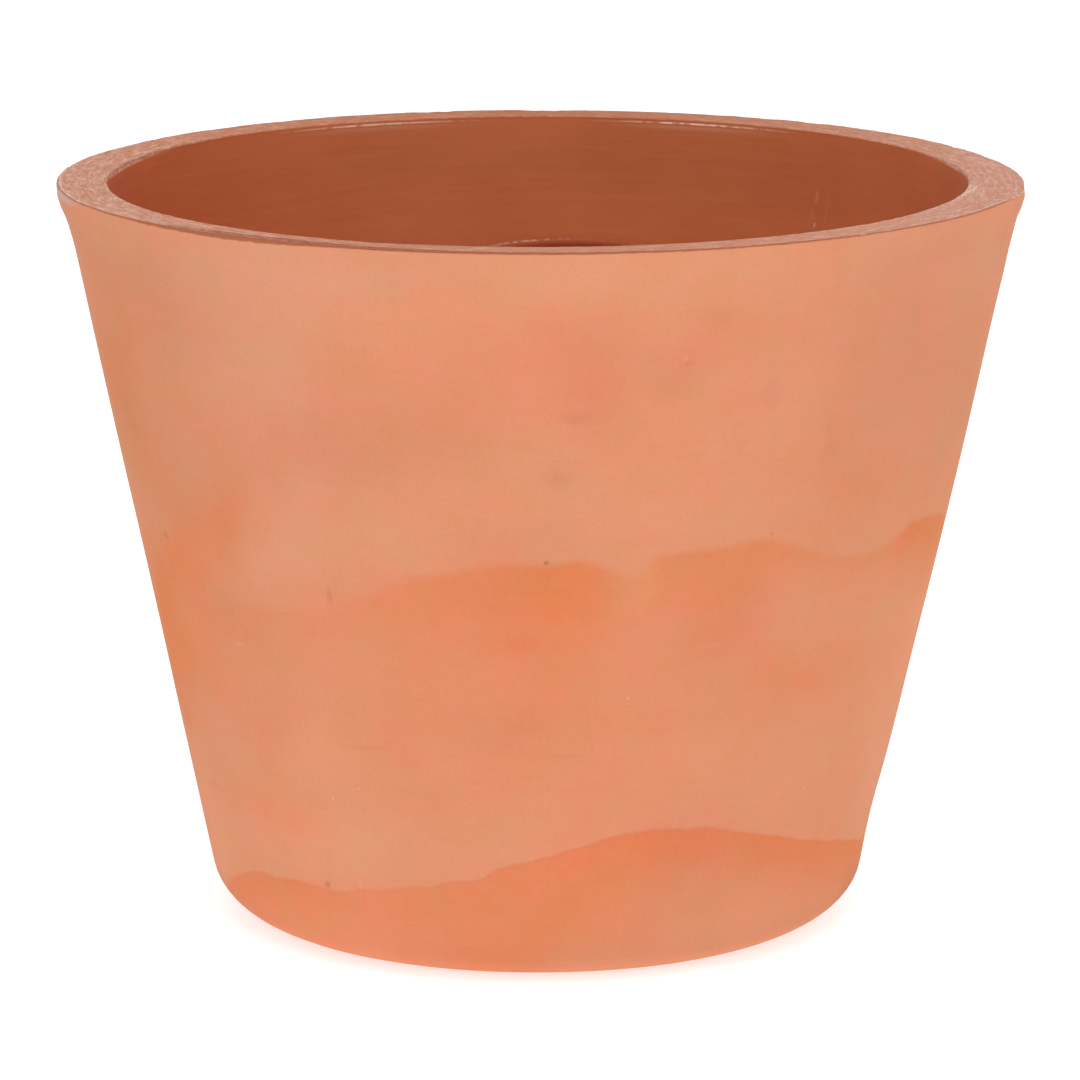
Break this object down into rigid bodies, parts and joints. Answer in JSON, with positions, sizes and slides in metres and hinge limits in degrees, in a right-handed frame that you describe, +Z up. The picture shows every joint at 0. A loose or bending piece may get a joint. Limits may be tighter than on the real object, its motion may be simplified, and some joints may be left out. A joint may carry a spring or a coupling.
{
  "type": "terracotta flower pot",
  "caption": "Round tapered flower pot of fired clay, with a thick flat rim, a rounded foot and a drain hole in its floor.",
  "frame": {"origin": "centre of the foot, on the surface the pot stands on", "axes": "+Z up along the pot's own axis, out of its mouth"},
  "size_m": [0.2, 0.2, 0.155],
  "materials": {
    "fired_clay": "matt unglazed"
  },
  "bodies": {
    "root": {"pot": "fired_clay"}
  },
  "joints": []
}
